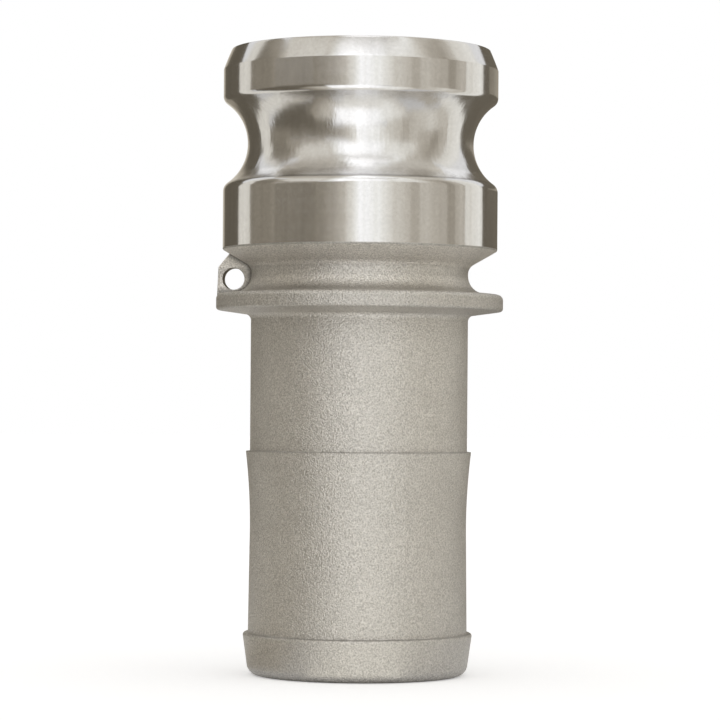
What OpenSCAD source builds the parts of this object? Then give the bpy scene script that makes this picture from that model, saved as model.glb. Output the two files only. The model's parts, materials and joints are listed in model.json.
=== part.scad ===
// Cam and groove adapter with a hose shank, cast in one piece.
// The hose end stands on the ground plane and the adapter end points up.

/* [Adapter end] */
// Outside diameter of the lip and the barrel
adapter_d = 63; // [61:0.1:65]
// Height from the barrel's lower edge to the sealing face
adapter_h = 45.7; // [43:0.1:50]
// Height of the tapered nose below the sealing face
nose_h = 4.6; // [2:0.1:6]
// Slope of the nose from the axis, in degrees
nose_slope = 22; // [5:0.5:30]
// Depth of the cam groove's middle below the sealing face
groove_drop = 21.5; // [20.5:0.1:23]
// Radius of the cam groove
groove_round = 11.3; // [10.5:0.1:11.8]
// Diameter at the bottom of the cam groove
groove_d = 51.8; // [51:0.1:54]
// Radius of the round between lip and groove
lip_round = 2.1; // [0.5:0.1:2.5]
// Radius of the round between groove and barrel
barrel_round = 3; // [0.5:0.1:3.5]
// Slope of the cone under the barrel, in degrees from level
cone_slope = 30; // [20:1:40]
// Radius of the edge between barrel and cone
cone_edge_round = 0.5; // [0.2:0.1:1]

/* [Neck] */
// Diameter of the neck between barrel and collar
neck_d = 49.7; // [49:0.1:51]
// Height of the neck, from the collar's upper root to the barrel's lower edge
neck_h = 9.5; // [9:0.1:16]
// Radius of the fillet under the cone
neck_top_fillet = 2.6; // [1:0.1:4]
// Radius of the fillet above the collar
neck_foot_fillet = 4.2; // [1:0.1:5]

/* [Collar] */
// Diameter of the collar
collar_d = 65.8; // [62:0.1:72]
// Thickness of the collar at its rim
collar_rim = 3.6; // [2.5:0.1:6]
// Draft of the collar's upper face, in degrees
collar_top_draft = 5; // [2:0.5:12]
// Draft of the collar's lower face, in degrees
collar_foot_draft = 8; // [2:0.5:12]
// Radius of the rim's upper edge
collar_top_round = 1.2; // [0.2:0.1:1.4]
// Radius of the rim's lower edge
collar_foot_round = 0.7; // [0.2:0.1:1]
// Radius of the fillet under the collar
collar_fillet = 1.5; // [0.5:0.1:3]

/* [Hose shank] */
// Length from the hose end to the collar's lower root
shank_l = 82.4; // [75:0.1:110]
// Diameter of the plain shank below the collar
shank_d = 49.8; // [49:0.1:50.5]
// Diameter over the upper barb
upper_barb_d = 51.7; // [51:0.1:54]
// Distance between the edges of the two barbs
barb_pitch = 41.5; // [35:0.1:50]
// Length of the hollow flank below the upper barb
flank_l = 17.4; // [10:0.1:25]
// Diameter of the waist below that flank
waist_d = 49.6; // [49:0.1:50.5]
// Diameter of the shank at the lower barb's root
root_d = 50.2; // [49:0.1:51]
// Diameter over the lower barb
lower_barb_d = 52.7; // [51.5:0.1:54]
// Height of the lower barb
lower_barb_h = 9.7; // [6:0.1:14]
// Diameter to which the lower barb tapers at the hose end
end_d = 50; // [49:0.1:51]
// Radius of the lower barb's edge
barb_edge_round = 0.6; // [0.2:0.1:1]
// Radius of the fillet at the root of each barb
barb_fillet = 0.3; // [0.1:0.1:0.4]
// Radius of the rounded hose end
end_round = 2.6; // [0.5:0.1:4]

/* [Bore] */
// Diameter of the bore
bore_d = 44; // [40:0.1:45]
// Width of the chamfer inside the sealing face
mouth_chamfer = 1.5; // [0.5:0.1:3]
// Width of the chamfer inside the hose end
end_chamfer = 0.3; // [0.2:0.1:1]

/* [Ear] */
// Thickness of the ear
ear_t = 4.4; // [3:0.1:6]
// Distance from the collar's rim in to the ear's outer edge
ear_inset = 0.2; // [0.2:0.1:3]
// Draft of the ear's outer edge, in degrees
ear_draft = 2.5; // [0:0.5:4]
// Height of the ear's outer edge above the collar's rim
ear_h = 6.2; // [5.5:0.1:8]
// Slope of the ear's shoulder, in degrees from level
ear_shoulder = 51; // [40:1:60]
// Radius of the ear's outer corner
ear_round = 0.6; // [0.3:0.1:1.5]
// Diameter of the eye
eye_d = 5; // [3:0.1:5.5]
// Distance from the collar's rim in to the eye's centre
eye_inset = 4; // [3.5:0.1:5]
// Height of the eye's centre above the collar's rim
eye_h = 3.5; // [3:0.1:4.5]

/* [Hidden] */

$fa = 1;
$fs = 0.4;

steel = [0.69, 0.66, 0.61];

// How far a cutting tool runs past the face that it opens
overlap = 1;
// How far the area between a corner and its round laps past the corner, as a factor
spandrel_lap = 1.1;
// How far a round's circle reaches past the sides that it runs into
spandrel_bite = 0.0008;

adapter_r = adapter_d / 2;
neck_r = neck_d / 2;
collar_r = collar_d / 2;
shank_r = shank_d / 2;
bore_r = bore_d / 2;

// Heights above the hose end, from the bottom up
upper_barb_z = lower_barb_h + barb_pitch;
waist_z = upper_barb_z - flank_l;
rim_bottom_z = shank_l + (collar_r - shank_r) * tan(collar_foot_draft);
rim_top_z = rim_bottom_z + collar_rim;
neck_foot_z = rim_top_z + (collar_r - neck_r) * tan(collar_top_draft);
barrel_z = neck_foot_z + neck_h;
cone_foot_z = barrel_z - (adapter_r - neck_r) * tan(cone_slope);
face_z = barrel_z + adapter_h;
nose_z = face_z - nose_h;
nose_r = adapter_r - nose_h * tan(nose_slope);

// The neck's two fillets share its straight wall, so a short neck shrinks both
neck_runs = neck_foot_fillet * tan(45 - collar_top_draft / 2) + neck_top_fillet * tan(45 - cone_slope / 2);
neck_fit = min(1, 0.95 * (cone_foot_z - neck_foot_z) / neck_runs);

groove_centre = [groove_d / 2 + groove_round, face_z - groove_drop];

// The rounded hose end stops short of the chamfer inside it, so a thin wall shrinks the round
end_taper = atan((lower_barb_d - end_d) / 2 / lower_barb_h);
end_fit = min(1, 0.95 * (end_d / 2 - bore_r - end_chamfer) / (end_round * tan(45 - end_taper / 2)));

function unit(v) = v / norm(v);

// The round of a corner between its two neighbours: [start, corner, end, centre, radius]
function bend(before, corner, after, radius) =
    let (back = unit(before - corner),
         on = unit(after - corner),
         half = acos(back * on) / 2,
         run = radius / tan(half))
    [corner + back * run, corner, corner + on * run, corner + unit(back + on) * radius / sin(half), radius];

// The area between a corner and its round, with a lap past the corner's two sides
module spandrel(bend) {
    centre = bend[3];
    difference() {
        polygon([centre, for (i = [0 : 2]) centre + (bend[i] - centre) * spandrel_lap]);
        translate(centre) circle(r = bend[4] + spandrel_bite);
    }
}

// A closed outline from its corners [x, y, radius of the round], anticlockwise
module outline(corners) {
    count = len(corners);
    points = [for (corner = corners) [corner.x, corner.y]];
    turns = [for (i = [0 : count - 1])
        cross(points[i] - points[(i + count - 1) % count], points[(i + 1) % count] - points[i])];
    bends = [for (i = [0 : count - 1])
        corners[i].z > 0
            ? bend(points[(i + count - 1) % count], points[i], points[(i + 1) % count], corners[i].z)
            : undef];
    difference() {
        union() {
            polygon(points);
            for (i = [0 : count - 1]) if (bends[i] && turns[i] < 0) spandrel(bends[i]);
        }
        for (i = [0 : count - 1]) if (bends[i] && turns[i] > 0) spandrel(bends[i]);
    }
}

// The round between the groove and the adapter's outside: side is 1 for the lip, -1 for the barrel
function groove_bend(side, radius) =
    let (in = adapter_r - radius,
         rise = sqrt((groove_round + radius) ^ 2 - (groove_centre.x - in) ^ 2),
         corner_rise = sqrt(groove_round ^ 2 - (groove_centre.x - adapter_r) ^ 2),
         centre = [in, groove_centre.y + side * rise])
    [[adapter_r, centre.y],
     [adapter_r, groove_centre.y + side * corner_rise],
     groove_centre + unit(centre - groove_centre) * groove_round,
     centre,
     radius];

// Everything outside the hollow flank, from its waist up to the upper barb's edge
module flank_hollow() {
    out = (upper_barb_d - waist_d) / 2;
    radius = (out ^ 2 + flank_l ^ 2) / (2 * out);
    intersection() {
        translate([waist_d / 2 + radius, waist_z]) circle(r = radius);
        translate([0, waist_z - flank_l]) square([collar_r, 2 * flank_l + overlap]);
    }
}

// Half of the body's section, before the groove and the hollow flank are cut
body_corners = [
    [0, 0, 0],
    [end_d / 2, 0, end_round * end_fit],
    [lower_barb_d / 2, lower_barb_h, barb_edge_round],
    [root_d / 2, lower_barb_h, barb_fillet],
    [waist_d / 2, waist_z, 0],
    [upper_barb_d / 2 + overlap, upper_barb_z, 0],
    [shank_r, upper_barb_z, barb_fillet],
    [shank_r, shank_l, collar_fillet],
    [collar_r, rim_bottom_z, collar_foot_round],
    [collar_r, rim_top_z, collar_top_round],
    [neck_r, neck_foot_z, neck_foot_fillet * neck_fit],
    [neck_r, cone_foot_z, neck_top_fillet * neck_fit],
    [adapter_r, barrel_z, cone_edge_round],
    [adapter_r, nose_z, 0],
    [nose_r, face_z, 0],
    [0, face_z, 0],
];

// The solid that the shank, collar, neck and adapter end are turned from
module body() {
    rotate_extrude() difference() {
        outline(body_corners);
        translate(groove_centre) circle(r = groove_round);
        spandrel(groove_bend(1, lip_round));
        spandrel(groove_bend(-1, barrel_round));
        flank_hollow();
    }
}

// The bore, with a chamfer at each mouth
module bore() {
    translate([0, 0, -overlap]) cylinder(r = bore_r, h = face_z + 2 * overlap);
    translate([0, 0, face_z - mouth_chamfer])
        cylinder(r1 = bore_r, r2 = bore_r + mouth_chamfer + overlap, h = mouth_chamfer + overlap);
    translate([0, 0, -overlap])
        cylinder(r1 = bore_r + end_chamfer + overlap, r2 = bore_r, h = end_chamfer + overlap);
}

ear_foot_z = rim_top_z - collar_rim / 2;
ear_top_z = rim_top_z + ear_h;
ear_foot_r = collar_r - ear_inset + (rim_top_z - ear_foot_z) * tan(ear_draft);
ear_top_r = collar_r - ear_inset - ear_h * tan(ear_draft);
ear_root_r = (neck_r + bore_r) / 2;
// The shoulder runs up into the cone, to the height of the barrel's lower edge
ear_shoulder_r = ear_top_r - (barrel_z - ear_top_z) / tan(ear_shoulder);

// The ear's side view, rooted in the collar, the neck and the cone
ear_corners = [
    [ear_root_r, ear_foot_z, 0],
    [ear_foot_r, ear_foot_z, 0],
    [ear_top_r, ear_top_z, ear_round],
    [ear_shoulder_r, barrel_z, 0],
    [ear_root_r, barrel_z, 0],
];

// The flat ear, standing out from the neck between collar and barrel
module ear() {
    rotate([90, 0, 180])
        linear_extrude(height = ear_t, center = true) outline(ear_corners);
}

// The hole through the ear
module eye() {
    translate([-(collar_r - eye_inset), 0, rim_top_z + eye_h])
        rotate([90, 0, 0]) cylinder(d = eye_d, h = ear_t + 2 * overlap, center = true);
}

module hose_adapter() {
    color(steel) difference() {
        union() {
            body();
            ear();
        }
        bore();
        eye();
    }
}

hose_adapter();
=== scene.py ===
import json
import math

import bmesh
import bpy
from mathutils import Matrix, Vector

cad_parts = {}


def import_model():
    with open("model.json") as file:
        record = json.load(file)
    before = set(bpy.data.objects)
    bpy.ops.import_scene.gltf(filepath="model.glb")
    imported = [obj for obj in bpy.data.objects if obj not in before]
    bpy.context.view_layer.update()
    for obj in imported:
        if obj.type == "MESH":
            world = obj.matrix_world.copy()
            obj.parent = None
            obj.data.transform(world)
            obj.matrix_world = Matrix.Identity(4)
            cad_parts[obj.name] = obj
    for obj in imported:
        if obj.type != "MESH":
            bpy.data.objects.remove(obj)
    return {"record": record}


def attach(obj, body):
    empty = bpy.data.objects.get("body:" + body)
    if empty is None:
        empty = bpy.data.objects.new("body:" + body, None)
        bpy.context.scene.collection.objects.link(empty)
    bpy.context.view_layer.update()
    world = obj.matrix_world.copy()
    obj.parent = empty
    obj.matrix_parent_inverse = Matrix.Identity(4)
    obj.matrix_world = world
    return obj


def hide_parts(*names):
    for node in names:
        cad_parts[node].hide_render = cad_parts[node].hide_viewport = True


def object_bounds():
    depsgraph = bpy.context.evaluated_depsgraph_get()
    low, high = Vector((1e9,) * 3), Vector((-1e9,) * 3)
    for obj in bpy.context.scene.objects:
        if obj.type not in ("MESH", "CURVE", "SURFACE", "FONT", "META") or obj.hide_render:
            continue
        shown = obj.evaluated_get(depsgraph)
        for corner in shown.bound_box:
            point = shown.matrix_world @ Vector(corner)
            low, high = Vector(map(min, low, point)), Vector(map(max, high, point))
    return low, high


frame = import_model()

# A hose adapter in one piece: its shank is cast and bead-blasted, and its adapter end is turned bright

cad_low, cad_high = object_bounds()
mounts = {mount["name"]: mount for mount in frame["record"]["mounts"]}
mm = 0.001

# Sizes

# From the frame: the overall height, the bore, the turned outside and the ear's eye
face_z = cad_high.z
bore_r = mounts["bore"]["dims"]["r_mm"] * mm
adapter_r = mounts["adapter_spigot"]["dims"]["r_mm"] * mm
spigot_half = mounts["adapter_spigot"]["dims"]["length_mm"] * mm / 2
barrel_foot_z = mounts["adapter_spigot"]["pos_m"][2] - spigot_half
nose_z = mounts["adapter_spigot"]["pos_m"][2] + spigot_half
eye_x, eye_y, eye_z = mounts["ear_eye"]["pos_m"]
eye_r = mounts["ear_eye"]["dims"]["r_mm"] * mm
ear_t = mounts["ear_eye"]["dims"]["length_mm"] * mm

# Adapter end
nose_slope = math.radians(22)
nose_crown = 60 * mm
groove_z = face_z - 21.5 * mm
groove_r = 25.9 * mm
groove_round = 11.3 * mm
lip_round = 1.8 * mm
barrel_round = 2.2 * mm
cone_slope = math.radians(30)
cone_edge_round = 0.5 * mm
barrel_z = barrel_foot_z - cone_edge_round * math.tan(cone_slope)
mouth_chamfer = 1.5 * mm

# Neck and collar
neck_r = 24.85 * mm
neck_foot_z = barrel_z - 9.5 * mm
neck_foot_fillet = 4.2 * mm
neck_top_fillet = 2.6 * mm
collar_r = cad_high.x
collar_top_draft = math.radians(5)
collar_foot_draft = math.radians(8)
collar_rim = 3.6 * mm
collar_top_round = 1.2 * mm
collar_foot_round = 0.7 * mm
collar_fillet = 1.5 * mm

# Hose shank
shank_r = 24.9 * mm
upper_barb_r = 25.85 * mm
upper_barb_z = 51.2 * mm
flank_l = 17.4 * mm
waist_r = 24.8 * mm
root_r = 25.1 * mm
lower_barb_r = 26.35 * mm
lower_barb_z = 9.7 * mm
lower_barb_round = 0.6 * mm
barb_fillet = 0.3 * mm
flank_start = 5 * barb_fillet
end_r = 25 * mm
end_round = 2.6 * mm
end_chamfer = 0.3 * mm

# Ear
ear_inset = 0.2 * mm
ear_draft = math.radians(2.5)
ear_h = 6.2 * mm
ear_shoulder = math.radians(51)
ear_round = 0.6 * mm
ear_edge_round = 0.35 * mm

# Edges that are broken rather than rounded
edge_break = 0.12 * mm

# Fineness of the mesh: the steps round the axis, how far an arc's chords may stand off, the steps along the
# flank, the nose and the ear's rounded edges, and the eye's sides
turns = 240
arc_error = 0.002 * mm
flank_steps = 32
nose_steps = 8
ear_edge_steps = 3
eye_sides = 72

# How close a support point lies to the end of a long side, and the length from which a side is long
support = 0.12 * mm
long_side = 6 * support

# The angles from which an edge of the ear is rounded and an edge of the mesh is shaded sharp
round_angle = math.radians(50)
sharp_angle = math.radians(35)

# Heights and radii that follow from the sizes above
rim_top_z = neck_foot_z - (collar_r - neck_r) * math.tan(collar_top_draft)
rim_foot_z = rim_top_z - collar_rim
shank_top_z = rim_foot_z - (collar_r - shank_r) * math.tan(collar_foot_draft)
cone_foot_z = barrel_z - (adapter_r - neck_r) * math.tan(cone_slope)
nose_r = adapter_r - (face_z - nose_z) * math.tan(nose_slope)
groove_inset = groove_r + groove_round - adapter_r + barrel_round
groove_lean = math.acos(groove_inset / (groove_round + barrel_round))
crease_z = groove_z - groove_round * math.sin(groove_lean)


# Outline

def arc(centre, radius, start, end):
    """Points on an arc from one angle to another, in radians, both ends included."""
    step = 2 * math.acos(1 - arc_error / radius)
    count = max(2, math.ceil(abs(end - start) / step))
    angles = [start + (end - start) * i / count for i in range(count + 1)]
    return [Vector((centre[0] + radius * math.cos(a), centre[1] + radius * math.sin(a))) for a in angles]


def rounded(before, corner, after, radius):
    """The points that round a corner between its two neighbours."""
    if radius == 0:
        return [corner]
    back, on = (before - corner).normalized(), (after - corner).normalized()
    half = back.angle(on) / 2
    centre = corner + (back + on).normalized() * radius / math.sin(half)
    first, last = corner + back * radius / math.tan(half), corner + on * radius / math.tan(half)
    start = math.atan2(first.y - centre.y, first.x - centre.x)
    end = math.atan2(last.y - centre.y, last.x - centre.x)
    swing = (end - start + math.pi) % (2 * math.pi) - math.pi
    return arc(centre, radius, start, start + swing)


def smoothed(corners):
    """A closed outline of (x, y, radius) corners, each rounded by its radius."""
    points = [Vector(corner[:2]) for corner in corners]
    count = len(corners)
    outline = []
    for i, corner in enumerate(corners):
        outline += rounded(points[i - 1], points[i], points[(i + 1) % count], corner[2])
    return outline


def flank():
    """The shank's outline from the lower barb's root up the hollow flank to the upper barb's edge."""
    rise = upper_barb_r - waist_r
    radius = (rise ** 2 + flank_l ** 2) / (2 * rise)
    waist_z = upper_barb_z - flank_l
    slope = (waist_r - root_r) / (waist_z - lower_barb_z)
    low = lower_barb_z + flank_start
    points = []
    for i in range(flank_steps):
        z = low + (upper_barb_z - low) * i / flank_steps
        straight = root_r + slope * (z - lower_barb_z)
        hollow = waist_r + radius - math.sqrt(radius ** 2 - (z - waist_z) ** 2)
        points.append((min(straight, hollow) if z < waist_z else hollow, z, 0))
    return points


def groove():
    """The outline from the barrel through the cam groove to the lip, with its two tangent rounds."""
    centre = Vector((groove_r + groove_round, groove_z))
    points = []
    for side, radius in ((-1, barrel_round), (1, lip_round)):
        inset = adapter_r - radius
        rise = math.sqrt((groove_round + radius) ** 2 - (centre.x - inset) ** 2)
        turn = Vector((inset, centre.y + side * rise))
        lean = math.atan2(centre.y - turn.y, centre.x - turn.x)
        points.append((turn, radius, lean))
    (low, low_r, low_lean), (high, high_r, high_lean) = points
    hollow_start = low_lean + math.pi
    hollow_end = high_lean + math.pi
    return [
        *arc(low, low_r, 0, low_lean),
        *arc(centre, groove_round, hollow_start, hollow_end)[1:-1],
        *arc(high, high_r, high_lean, 0),
    ]


def nose():
    """The points between the ends of the nose's slightly crowned cone."""
    foot, top = Vector((adapter_r, nose_z)), Vector((nose_r, face_z))
    side = top - foot
    across = Vector((side.y, -side.x)).normalized()
    points = []
    for i in range(1, nose_steps):
        offset = (i / nose_steps - 0.5) * side.length
        bulge = (side.length ** 2 / 4 - offset ** 2) / (2 * nose_crown)
        point = foot + side * i / nose_steps + across * bulge
        points.append((point.x, point.y, 0))
    return points


def body_outline():
    """Half of the body's section as (radius, height), anticlockwise from the bore's foot."""
    corners = [
        (bore_r, end_chamfer, edge_break),
        (bore_r + end_chamfer, 0, 0),
        (end_r, 0, end_round),
        (lower_barb_r, lower_barb_z, lower_barb_round),
        (root_r, lower_barb_z, barb_fillet),
        *flank(),
        (upper_barb_r, upper_barb_z, edge_break),
        (shank_r, upper_barb_z, barb_fillet),
        (shank_r, shank_top_z, collar_fillet),
        (collar_r, rim_foot_z, collar_foot_round),
        (collar_r, rim_top_z, collar_top_round),
        (neck_r, neck_foot_z, neck_foot_fillet),
        (neck_r, cone_foot_z, neck_top_fillet),
        (adapter_r, barrel_z, cone_edge_round),
        *[(point.x, point.y, 0) for point in groove()],
        (adapter_r, nose_z, edge_break),
        *nose(),
        (nose_r, face_z, edge_break),
        (bore_r + mouth_chamfer, face_z, edge_break),
        (bore_r, face_z - mouth_chamfer, edge_break),
    ]
    return smoothed(corners)


def supported(outline):
    """The outline with a point close to both ends of each long side, which keeps its shading flat."""
    points = []
    for i, point in enumerate(outline):
        following = outline[(i + 1) % len(outline)]
        side = following - point
        points.append(point)
        if side.length > long_side:
            step = side.normalized() * support
            points += [point + step, following - step]
    return points


# Meshes

def new_piece(name, data):
    """An object of the scene with this mesh or camera."""
    piece = bpy.data.objects.new(name, data)
    bpy.context.scene.collection.objects.link(piece)
    return piece


def turned_mesh(outline):
    """The closed solid that the outline makes when it is turned about Z."""
    mesh = bpy.data.meshes.new("turned")
    count = len(outline)
    vertices = []
    for turn in range(turns):
        angle = 2 * math.pi * turn / turns
        vertices += [(p.x * math.cos(angle), p.x * math.sin(angle), p.y) for p in outline]
    faces = []
    for turn in range(turns):
        here, there = turn * count, (turn + 1) % turns * count
        for i in range(count):
            j = (i + 1) % count
            faces.append((here + i, there + i, there + j, here + j))
    mesh.from_pydata(vertices, [], faces)
    return mesh


def ear_outline():
    """The ear's side view as (radius, height), rooted in the collar, the neck and the cone."""
    foot_z = rim_top_z - collar_rim / 2
    top_z = rim_top_z + ear_h
    edge_r = collar_r - ear_inset
    foot_r = edge_r + (rim_top_z - foot_z) * math.tan(ear_draft)
    top_r = edge_r - ear_h * math.tan(ear_draft)
    root_r_inside = (neck_r + bore_r) / 2
    shoulder_r = top_r - (barrel_z - top_z) / math.tan(ear_shoulder)
    return smoothed([
        (root_r_inside, foot_z, 0),
        (foot_r, foot_z, 0),
        (top_r, top_z, ear_round),
        (shoulder_r, barrel_z, 0),
        (root_r_inside, barrel_z, 0),
    ])


def plate_mesh(outline, thickness):
    """The closed plate that the outline makes in the plane of Y = 0, out along -X."""
    mesh = bpy.data.meshes.new("plate")
    count = len(outline)
    near = [(-p.x, -thickness / 2, p.y) for p in outline]
    far = [(-p.x, thickness / 2, p.y) for p in outline]
    caps = [tuple(range(count)), tuple(range(2 * count - 1, count - 1, -1))]
    sides = [(i, i + count, (i + 1) % count + count, (i + 1) % count) for i in range(count)]
    mesh.from_pydata(near + far, [], caps + sides)
    return mesh


def eye_mesh():
    """A rod along Y that cuts the ear's eye."""
    mesh = bpy.data.meshes.new("eye")
    rod = bmesh.new()
    bmesh.ops.create_cone(
        rod, cap_ends=True, segments=eye_sides, radius1=eye_r, radius2=eye_r, depth=3 * ear_t
    )
    rod.to_mesh(mesh)
    rod.free()
    return mesh


def combined(piece, other, operation):
    """piece joined with the other, or cut by it, and the other removed."""
    modifier = piece.modifiers.new(operation, "BOOLEAN")
    modifier.operation = operation
    modifier.solver = "EXACT"
    modifier.object = other
    applied(piece)
    bpy.data.objects.remove(other)
    return piece


def applied(piece):
    """The piece with its modifiers made part of its mesh."""
    depsgraph = bpy.context.evaluated_depsgraph_get()
    mesh = bpy.data.meshes.new_from_object(piece.evaluated_get(depsgraph))
    piece.modifiers.clear()
    piece.data = mesh
    return piece


def made_ear():
    """The ear's plate with its eye cut out and its edges rounded."""
    ear = new_piece("ear_plate", plate_mesh(ear_outline(), ear_t))
    rod = new_piece("eye_rod", eye_mesh())
    rod.location = (eye_x, eye_y, eye_z)
    rod.rotation_euler = (math.pi / 2, 0, 0)
    combined(ear, rod, "DIFFERENCE")
    bevel = ear.modifiers.new("edge", "BEVEL")
    bevel.width = ear_edge_round
    bevel.segments = ear_edge_steps
    bevel.limit_method = "ANGLE"
    bevel.angle_limit = round_angle
    return applied(ear)


def made_adapter():
    """The whole casting: the turned body with its ear."""
    adapter = new_piece("adapter", turned_mesh(supported(body_outline())))
    combined(adapter, made_ear(), "UNION")
    adapter.data.shade_smooth()
    adapter.data.set_sharp_from_angle(angle=sharp_angle)
    return adapter


# Materials

steel_colour = (0.577, 0.56, 0.535)
turned_colour = (0.645, 0.64, 0.64)
# The eye's wall is coloured dark: painted shade inside the hole
eye_shade_colour = (0.28, 0.26, 0.23)

# Noises: their scale in waves a metre and their detail, and the values between which a noise mostly lies
grain_noise = (2800, 2)
cloud_noise = (90, 3)
gloss_noise = (500, 2)
stain_noise = (350, 3)
speck_noise = (1500, 2)
wave_noise = (160, 1)
line_detail = 3
noise_span = (0.3, 0.7)

# Blasted steel: the shades and the roughness that its noises give, and how deep its grain is
grain_shade = (0.73, 1.27)
cloud_shade = (0.97, 1.03)
cloud_roughness = (0.44, 0.49)
grain_depth = 0.25 * mm

# Turned steel: the shades that its noises give, how far its roughness swings, and how far the height is drawn
# together where its lines are streaks
stain_shade = (0.98, 1.02)
speck_shade = (0.965, 1.035)
roughness_swing = 0.02
streak_draw = (1, 1, 0.1)

# Painted shade in corners: how far it reaches, how open a point is where it is darkest and where it ends, and
# its shade
casting_corner_shade = (0.4 * mm, 0.3, 0.75, 0.6)
# The ear's sides: deep painted shade where they meet the neck and the cone
ear_corner_shade = (1.6 * mm, 0.4, 0.97, 0.12)

# Rings of painted shade and painted light round the casting, darker or paler: the height of their middle,
# half their width, how far they fade out beyond it, and their shade
casting_shading_rings = [
    # Painted shade along the edges of the two barbs
    (upper_barb_z, 0.05 * mm, 0.25 * mm, 0.75),
    (lower_barb_z, 0.05 * mm, 0.25 * mm, 0.75),
    # Painted light on the cone, and a line of painted shade where it meets the barrel
    ((cone_foot_z + barrel_foot_z) / 2, (barrel_foot_z - cone_foot_z) / 2, 0.5 * mm, 1.3),
    (barrel_foot_z, 0.3 * mm, 0.15 * mm, 0.6),
    # Painted light on the fillet above the collar
    (neck_foot_z + 1.8 * mm, 0.5 * mm, 1 * mm, 1.2),
    # Painted shade on the collar's rim
    ((rim_top_z + rim_foot_z) / 2 - 0.6 * mm, 1.2 * mm, 0.8 * mm, 0.9),
]

# The same on the turned end: painted shade in the crease at the groove's foot and a band of painted light
# above it
turned_shading_rings = [
    (crease_z, 0.05 * mm, 0.2 * mm, 0.75),
    (crease_z + 1.2 * mm, 0.7 * mm, 0.7 * mm, 1.18),
]

# The same for the neck, where the casting is smoother: its last value is a share of the roughness
neck_ring = ((rim_top_z + cone_foot_z) / 2, (cone_foot_z - rim_top_z) / 2, 0.3 * mm, 0.78)

# Places of the finishes among the adapter's materials
casting, turned, polished, ear_side, eye_wall = range(5)

# How far a face's centre may stand off and still belong to the ear's side, the eye, the groove or the bore
ear_slack = 0.01 * mm
eye_slack = 0.02 * mm
groove_slack = 0.05 * mm
bore_slack = 0.1 * mm


def material(name):
    """A new material with its nodes and links."""
    made = bpy.data.materials.new(name)
    made.use_nodes = True
    return made, made.node_tree.nodes, made.node_tree.links


def place_on(nodes):
    """A point's place on the part, in metres."""
    return nodes.new("ShaderNodeTexCoord").outputs["Object"]


def parted(nodes, links, vector):
    """A vector's X, Y and Z."""
    split = nodes.new("ShaderNodeSeparateXYZ")
    links.new(vector, split.inputs["Vector"])
    return split.outputs


def ring_coordinates(nodes, links):
    """A point's distance from the axis and its height, which every ring round the part shares."""
    place = parted(nodes, links, place_on(nodes))
    flat = nodes.new("ShaderNodeCombineXYZ")
    distance = nodes.new("ShaderNodeVectorMath")
    distance.operation = "LENGTH"
    ring = nodes.new("ShaderNodeCombineXYZ")
    links.new(place["X"], flat.inputs["X"])
    links.new(place["Y"], flat.inputs["Y"])
    links.new(flat.outputs["Vector"], distance.inputs[0])
    links.new(distance.outputs["Value"], ring.inputs["X"])
    links.new(place["Z"], ring.inputs["Z"])
    return ring.outputs["Vector"]


def profile_coordinates(nodes, links):
    """A point's place with its height drawn together, so that noise there runs in streaks up and down."""
    squeeze = nodes.new("ShaderNodeVectorMath")
    squeeze.operation = "MULTIPLY"
    squeeze.inputs[1].default_value = streak_draw
    links.new(place_on(nodes), squeeze.inputs[0])
    return squeeze.outputs["Vector"]


def noise(nodes, links, vector, scale, detail):
    """A noise over the vector, its scale in waves a metre."""
    made = nodes.new("ShaderNodeTexNoise")
    made.inputs["Scale"].default_value = scale
    made.inputs["Detail"].default_value = detail
    links.new(vector, made.inputs["Vector"])
    return made.outputs["Fac"]


def ranged(nodes, links, value, low, high, to_low, to_high):
    """The value brought from one span to another, and held at its ends."""
    made = nodes.new("ShaderNodeMapRange")
    for name, number in (("From Min", low), ("From Max", high), ("To Min", to_low), ("To Max", to_high)):
        made.inputs[name].default_value = number
    links.new(value, made.inputs["Value"])
    return made.outputs["Result"]


def varied(nodes, links, value, span):
    """A noise brought from the span where it mostly lies to another."""
    return ranged(nodes, links, value, *noise_span, *span)


def tinted(nodes, links, colour, factor):
    """The colour times the factor."""
    made = nodes.new("ShaderNodeVectorMath")
    made.operation = "SCALE"
    made.inputs[0].default_value = colour
    links.new(factor, made.inputs["Scale"])
    return made.outputs["Vector"]


def multiplied(nodes, links, first, second):
    """The product of two values."""
    made = nodes.new("ShaderNodeMath")
    made.operation = "MULTIPLY"
    links.new(first, made.inputs[0])
    links.new(second, made.inputs[1])
    return made.outputs["Value"]


def bumped(nodes, links, height, depth, below=None):
    """The normal of a surface raised by height times depth, on top of the bumps below if there are any."""
    made = nodes.new("ShaderNodeBump")
    made.inputs["Distance"].default_value = depth
    links.new(height, made.inputs["Height"])
    if below:
        links.new(below, made.inputs["Normal"])
    return made.outputs["Normal"]


def painted_corner_shade(nodes, links, reach, closed, clear, darkest):
    """Painted shade in corners: 1 where a point is clear of its neighbours, down to the darkest value where
    they close it in.
    """
    made = nodes.new("ShaderNodeAmbientOcclusion")
    made.samples = 8
    made.only_local = True
    made.inputs["Distance"].default_value = reach
    return ranged(nodes, links, made.outputs["AO"], closed, clear, darkest, 1)


def ringed(nodes, links, z, centre, half, reach, inside):
    """The inside value on a ring at one height, and 1 beyond its reach."""
    offset = nodes.new("ShaderNodeMath")
    offset.operation = "SUBTRACT"
    offset.inputs[1].default_value = centre
    distance = nodes.new("ShaderNodeMath")
    distance.operation = "ABSOLUTE"
    links.new(z, offset.inputs[0])
    links.new(offset.outputs["Value"], distance.inputs[0])
    return ranged(nodes, links, distance.outputs["Value"], half, half + reach, inside, 1)


def with_rings(nodes, links, shade, height, rings):
    """The shade with rings of painted light and shade laid over it."""
    for ring in rings:
        shade = multiplied(nodes, links, shade, ringed(nodes, links, height, *ring))
    return shade


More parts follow.
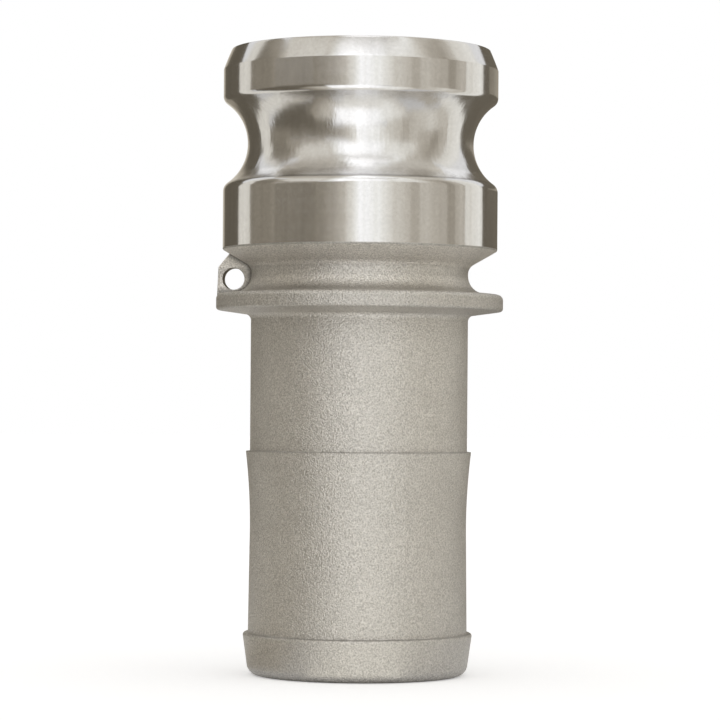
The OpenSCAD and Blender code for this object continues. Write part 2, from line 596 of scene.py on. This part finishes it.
def blasted_steel(name, colour, corners):
    """Bead-blasted casting: an even, sparkling grain, darker in its corners by painted shade, with rings of
    painted light and shade, smoother on the neck, and paler on the cone by painted light."""
    made, nodes, links = material(name)
    shader = nodes["Principled BSDF"]
    shader.inputs["Metallic"].default_value = 1
    place = place_on(nodes)
    height = parted(nodes, links, place)["Z"]
    grain = noise(nodes, links, place, *grain_noise)
    clouds = noise(nodes, links, place, *cloud_noise)
    sparkle = varied(nodes, links, grain, grain_shade)
    patches = varied(nodes, links, clouds, cloud_shade)
    shade = multiplied(nodes, links, sparkle, patches)
    # Painted shade in the corners
    shade = multiplied(nodes, links, shade, painted_corner_shade(nodes, links, *corners))
    # Rings of painted light and shade
    shade = with_rings(nodes, links, shade, height, casting_shading_rings)
    links.new(tinted(nodes, links, colour, shade), shader.inputs["Base Color"])
    rough = varied(nodes, links, clouds, cloud_roughness)
    smoother = ringed(nodes, links, height, *neck_ring)
    links.new(multiplied(nodes, links, rough, smoother), shader.inputs["Roughness"])
    links.new(bumped(nodes, links, grain, grain_depth), shader.inputs["Normal"])
    return made


def turned_steel(name, coordinates, roughness, stretch, waviness, scale, depth):
    """Steel turned on a lathe: bright, with its gloss drawn out up and down by the stretch and made wavy by
    the waviness. Its fine lines have a scale and a depth and follow the coordinates: they are rings where the
    tool left them and streaks where they were polished away."""
    made, nodes, links = material(name)
    shader = nodes["Principled BSDF"]
    shader.inputs["Metallic"].default_value = 1
    shader.inputs["Anisotropic"].default_value = stretch
    shader.inputs["Anisotropic Rotation"].default_value = 0.25
    tangent = nodes.new("ShaderNodeTangent")
    tangent.direction_type = "RADIAL"
    tangent.axis = "Z"
    links.new(tangent.outputs["Tangent"], shader.inputs["Tangent"])
    along = coordinates(nodes, links)
    lines = noise(nodes, links, along, scale, line_detail)
    gloss = noise(nodes, links, along, *gloss_noise)
    place = place_on(nodes)
    stains = noise(nodes, links, place, *stain_noise)
    specks = noise(nodes, links, place, *speck_noise)
    waves = noise(nodes, links, place, *wave_noise)
    stained = varied(nodes, links, stains, stain_shade)
    shade = multiplied(nodes, links, stained, varied(nodes, links, specks, speck_shade))
    # Painted shade in the crease and painted light above it
    shade = with_rings(nodes, links, shade, parted(nodes, links, place)["Z"], turned_shading_rings)
    links.new(tinted(nodes, links, turned_colour, shade), shader.inputs["Base Color"])
    rough = varied(nodes, links, gloss, (roughness - roughness_swing, roughness + roughness_swing))
    links.new(rough, shader.inputs["Roughness"])
    lined = bumped(nodes, links, lines, depth)
    links.new(bumped(nodes, links, waves, waviness, lined), shader.inputs["Normal"])
    return made


def finish_of(face):
    """Which finish a face of the adapter has."""
    centre = face.center
    radius = math.hypot(centre.x, centre.y)
    from_eye = math.hypot(centre.x - eye_x, centre.z - eye_z)
    from_arc = math.hypot(radius - groove_r - groove_round, centre.z - groove_z)
    from_side = abs(abs(centre.y) - ear_t / 2)
    sideways = abs(face.normal.y)
    if from_eye < eye_r + eye_slack and sideways < 0.5:
        return eye_wall
    if centre.x < -neck_r and from_side < ear_slack and sideways > 0.9:
        return ear_side
    if centre.z < barrel_foot_z or radius < bore_r + bore_slack:
        return casting
    if from_arc < groove_round + groove_slack:
        return polished
    return turned


def dress(adapter):
    """Gives the casting its finishes: turned from the barrel's foot upwards, blasted elsewhere."""
    finishes = {
        casting: blasted_steel("blasted_steel", steel_colour, casting_corner_shade),
        turned: turned_steel(
            "turned_steel", ring_coordinates,
            roughness=0.15, stretch=0.85, waviness=0.02 * mm, scale=3800, depth=0.0006 * mm,
        ),
        polished: turned_steel(
            "turned_groove", profile_coordinates,
            roughness=0.18, stretch=0.92, waviness=0.15 * mm, scale=1100, depth=0.025 * mm,
        ),
        # The ear's sides, with deep painted shade at their roots
        ear_side: blasted_steel("blasted_ear", steel_colour, ear_corner_shade),
        # The eye's wall, darkened with painted shade
        eye_wall: blasted_steel("eye_wall", eye_shade_colour, casting_corner_shade),
    }
    for place in sorted(finishes):
        adapter.data.materials.append(finishes[place])
    for face in adapter.data.polygons:
        face.material_index = finish_of(face)


# Studio

# Camera: its place round the axis, its roll, its height and its distance from the axis
camera_turn = math.radians(4.6)
camera_roll = math.radians(-0.42)
eye_level = 60.7 * mm
camera_distance = 688.8 * mm

# Floor and world, which the camera sees as white
floor_colour = (0.9, 0.893, 0.882)
floor_half = 6
floor_glow = 0.3
world_fill = 0.85

# Light tent: its radius, the gaps between its layers on the wall and on the floor, the cloth's folds round
# the tent and how strongly they show, and the steps of a panel in degrees along it and in rows up it
tent_r = 1.2
layer_gap = 2 * mm
floor_gap = 0.3 * mm
fold_counts = (19, 43, 71, 137)
fold_depth = 0.03
panel_step = 0.5
panel_rows = 12

# The green and the blue of a glow beside its red: what is left of them in the dark and how fast they rise
# with the glow's strength, up to white
green_rise = (0.85, 0.12)
blue_rise = (0.62, 0.27)

# Panels: layer, name, bearings from and to, lower elevations at both, upper elevations at both, and the glow
# at both
panels = [
    (1, "ceiling_left", -180, -36, (50, 50), (90, 90), 0.5, 0.7),
    (1, "ceiling_right", 56, 180, (45, 55), (90, 90), 0.85, 0.6),
    (1, "ceiling_front_right", 24, 56, (45, 45), (90, 90), 1.5, 1.25),
    (1, "left_fill", -82, -36, (15, 15), (61, 57), 0.85, 0.95),
    (2, "left_flag_upper", -84, -60, (10, 10), (37, 19), 0.42, 0.46),
    (2, "left_flag_upper_near", -60, -36, (10, 10), (21, 19), 0.42, 0.5),
    (3, "left_flag_high", -103.5, -80, (5, 5), (36, 34), 0.27, 0.3),
    (3, "left_flag_slope", -103.5, -80, (36, 34), (48, 42), 0.31, 0.52),
    (3, "left_flag_top", -108.5, -103.5, (26, 24), (46, 48), 0.3, 0.27),
    (3, "left_flag_end", -80, -73, (30, 28), (43, 40), 0.48, 0.75),
    (4, "left_flag", -103.5, -75, (-10, -10), (12, 10), 0.29, 0.35),
    (4, "left_flag_near", -75, -40, (-10, -10), (9, 9), 0.3, 0.25),
    (2, "left_falloff", -40, -19, (-12, -12), (14, 14), 0.29, 0.48),
    (2, "left_falloff_end", -19, -12.5, (-14, -14), (14, 14), 0.49, 0.7),
    (3, "left_falloff_low", -44, -29, (-25, -25), (0, 0), 0.2, 0.26),
    (3, "left_falloff_low_end", -29, -14, (-11, -11), (0, 0), 0.36, 0.6),
    (1, "softbox_left", -12.5, 0, (-15, -15), (22, 22), 0.76, 1.38),
    (1, "softbox", 0, 10, (-15, -15), (22, 22), 1.38, 1.35),
    (1, "softbox_right", 10, 25, (-15, -15), (60, 60), 1.35, 0.97),
    (2, "softbox_top", -14, 24, (21, 21), (51.5, 51.5), 1.9, 1.3),
    (3, "ceiling_gap_left", -36, -14, (51, 51), (58, 58), 0.7, 0.4),
    (3, "ceiling_gap", -14, 24, (51.5, 51.5), (58, 58), 0.35, 0.5),
    (3, "ceiling_gap_right", 24, 46, (51, 51), (58, 58), 0.5, 0.7),
    (2, "ceiling_front", -14, 24, (58, 58), (90, 90), 1.9, 1.7),
    (1, "softbox_top_left", -36, -14, (19, 19), (90, 90), 0.7, 1.8),
    (2, "left_strip", -121.3, -103.5, (-74, -74), (48, 45), 0.9, 0.95),
    (1, "left_strip_foot", -103.5, -70, (-72, -66), (-22, -54), 1.05, 0.55),
    (3, "left_back_flag", -157, -121.3, (-37, -38), (46, 20), 0.14, 0.16),
    (1, "back_light", -180, -157, (-5, -5), (40, 40), 0.9, 0.35),
    (1, "back_floor", -180, -157, (-44, -37), (-5, -5), 0.5, 0.3),
    (1, "right_fill", 25, 41, (-40, -40), (18, 18), 0.95, 0.67),
    (1, "right_line", 41, 50, (-40, -40), (18, 18), 0.6, 0.6),
    (1, "right_wall", 50, 76, (-40, -40), (18, 18), 0.74, 0.57),
    (2, "right_floor", 56, 74, (-42, -40), (-7, -7), 0.72, 0.9),
    (1, "right_fill_high", 25, 52, (18, 18), (50, 50), 1.15, 1.05),
    (1, "right_wall_high", 52, 70, (18, 18), (58, 55), 1.02, 0.55),
    (1, "right_wall_high_far", 70, 84.5, (18, 18), (55, 52), 0.55, 0.52),
    (2, "right_gap", 76, 84.5, (-40, -40), (38, 38), 0.43, 0.43),
    (3, "right_floor_far", 74, 94, (-40, -36), (-7, -7), 0.88, 0.7),
    (1, "right_edge", 84.5, 96.5, (-40, -40), (52, 48), 0.6, 0.68),
    (4, "right_seam", 95, 96.5, (-30, -30), (30, 30), 0.5, 0.5),
    (2, "right_floor_low", 78, 104, (-64, -66), (-43, -47), 0.52, 0.56),
    (1, "right_strip", 96.5, 122, (-48, -48), (48, 45), 0.97, 1.1),
    (3, "right_back_flag", 122, 180, (-38, -70), (11, 56), 0.18, 0.16),
    (4, "right_back_glow", 134, 172, (5, 5), (8.5, 8.5), 0.36, 0.42),
    (3, "left_floor_flag", -98, -84, (-20, -44), (-5, -5), 0.18, 0.17),
    (3, "left_floor_flag_near", -84, -58, (-44, -56), (-5, -5), 0.17, 0.18),
    (3, "left_floor_near", -100, -46, (-77, -77), (-64, -58), 0.25, 0.5),
    (3, "left_floor_flag_side", -58, -44, (-36, -22), (-5, -5), 0.18, 0.2),
    (2, "left_floor", -66, -28, (-66, -58), (-20, -20), 0.14, 0.84),
    (1, "front_reflector_left", -28, 0, (-46, -46), (-20, -10), 1.4, 1.75),
    (1, "front_reflector_right", 0, 26, (-46, -46), (-10, -24), 1.75, 1.1),
    (1, "front_reflector_near", -28, 26, (-78, -78), (-46, -46), 1, 1.05),
    (1, "right_reflector", 26, 50, (-75, -75), (-40, -40), 1, 0.75),
    (2, "right_reflector_far", 26, 48, (-60, -60), (-24, -28), 1.3, 0.85),
]


def stage_piece(name, mesh, made):
    """A piece of the studio, which isn't part of the object."""
    piece = new_piece(name, mesh)
    piece.data.materials.append(made)
    return piece


def floor():
    """A pale floor that keeps the object's shadow and has a glow that only the camera sees."""
    made, nodes, links = material("floor")
    shader = nodes["Principled BSDF"]
    shader.inputs["Base Color"].default_value = (*floor_colour, 1)
    shader.inputs["Roughness"].default_value = 1
    shader.inputs["Specular IOR Level"].default_value = 0
    glow = nodes.new("ShaderNodeEmission")
    glow.inputs["Strength"].default_value = floor_glow
    none = nodes.new("ShaderNodeEmission")
    none.inputs["Strength"].default_value = 0
    path = nodes.new("ShaderNodeLightPath")
    choose = nodes.new("ShaderNodeMixShader")
    add = nodes.new("ShaderNodeAddShader")
    links.new(path.outputs["Is Camera Ray"], choose.inputs["Fac"])
    links.new(none.outputs["Emission"], choose.inputs[1])
    links.new(glow.outputs["Emission"], choose.inputs[2])
    links.new(shader.outputs["BSDF"], add.inputs[0])
    links.new(choose.outputs["Shader"], add.inputs[1])
    links.new(add.outputs["Shader"], nodes["Material Output"].inputs["Surface"])
    mesh = bpy.data.meshes.new("floor")
    corners = [(x * floor_half, y * floor_half, 0) for x, y in ((-1, -1), (1, -1), (1, 1), (-1, 1))]
    mesh.from_pydata(corners, [], [(0, 1, 2, 3)])
    stage_piece("floor", mesh, made)


def glowing(name):
    """A glow whose colour each point of a panel carries."""
    made, nodes, links = material(name)
    nodes.remove(nodes["Principled BSDF"])
    glow = nodes.new("ShaderNodeEmission")
    carried = nodes.new("ShaderNodeAttribute")
    carried.attribute_name = "level"
    links.new(carried.outputs["Color"], glow.inputs["Color"])
    links.new(glow.outputs["Emission"], nodes["Material Output"].inputs["Surface"])
    return made


def cloth_glow(bearing, strength):
    """The colour of a glow at one bearing, a little uneven like hanging cloth and warmer where it is dim."""
    folds = sum(math.sin(count * bearing + count) for count in fold_counts)
    red = strength * (1 + fold_depth * folds)
    green, blue = [red * min(1, least + rise * red) for least, rise in (green_rise, blue_rise)]
    return [red, green, blue, 1]


def between(ends, share):
    """The value at a share of the way from the first end to the second."""
    return ends[0] + (ends[1] - ends[0]) * share


def panel(layer, name, left, right, low, high, dim, bright):
    """A panel of the light tent round the object, which only shows in the metal. It spans two bearings from
    the camera's side and, at each of them, two elevations seen from the groove, all in degrees. What lies
    below the horizon is laid on the floor. Its glow runs from the first strength on the left to the second
    on the right. A higher layer hangs in front of a lower one."""
    wall_r = tent_r - layer * layer_gap
    columns = max(2, math.ceil((right - left) / panel_step))
    vertices, levels = [], []
    for i in range(columns + 1):
        share = i / columns
        bearing = math.radians(between((left, right), share)) + camera_turn
        glow = cloth_glow(bearing, between((dim, bright), share))
        bottom, top = between(low, share), between(high, share)
        for j in range(panel_rows + 1):
            slope = math.tan(math.radians(between((bottom, top), j / panel_rows)))
            reach = min(wall_r, groove_z / -slope) if slope < 0 else wall_r
            height = max(layer * floor_gap, groove_z + reach * slope)
            vertices.append((reach * math.sin(bearing), -reach * math.cos(bearing), height))
            levels += glow
    faces = []
    for i in range(columns):
        for j in range(panel_rows):
            first = i * (panel_rows + 1) + j
            faces.append((first, first + panel_rows + 1, first + panel_rows + 2, first + 1))
    mesh = bpy.data.meshes.new(name)
    mesh.from_pydata(vertices, [], faces)
    mesh.attributes.new("level", "FLOAT_COLOR", "POINT").data.foreach_set("color", levels)
    made = stage_piece(name, mesh, glowing(name))
    made.visible_camera = False
    made.visible_diffuse = False
    made.visible_shadow = False


def world():
    """White wherever the background shows, directly or in the metal, and dimmer where it lights the floor."""
    made = bpy.data.worlds.new("studio")
    made.use_nodes = True
    nodes, links = made.node_tree.nodes, made.node_tree.links
    path = nodes.new("ShaderNodeLightPath")
    seen = nodes.new("ShaderNodeMath")
    seen.operation = "MAXIMUM"
    through = nodes.new("ShaderNodeMath")
    through.operation = "MAXIMUM"
    links.new(path.outputs["Is Camera Ray"], seen.inputs[0])
    links.new(path.outputs["Is Glossy Ray"], seen.inputs[1])
    links.new(seen.outputs["Value"], through.inputs[0])
    links.new(path.outputs["Is Transmission Ray"], through.inputs[1])
    level = ranged(nodes, links, through.outputs["Value"], 0, 1, world_fill, 1)
    links.new(level, nodes["Background"].inputs["Strength"])
    nodes["Background"].inputs["Color"].default_value = (1, 1, 1, 1)
    bpy.context.scene.world = made


def camera():
    """A long lens, level with the shank and rolled a little."""
    data = bpy.data.cameras.new("camera")
    data.lens = 150
    data.sensor_width = 36
    data.shift_x = 0.0017
    data.shift_y = 0.0694
    data.clip_end = 50
    made = new_piece("camera", data)
    across, back = math.sin(camera_turn), -math.cos(camera_turn)
    made.location = (camera_distance * across, camera_distance * back, eye_level)
    made.rotation_euler = (math.pi / 2, camera_roll, camera_turn)
    bpy.context.scene.camera = made


# Scene

adapter = made_adapter()
dress(adapter)
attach(adapter, "root")
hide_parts("hose_adapter")

camera()
world()
floor()
for extent in panels:
    panel(*extent)

bpy.context.scene.view_settings.view_transform = "Standard"
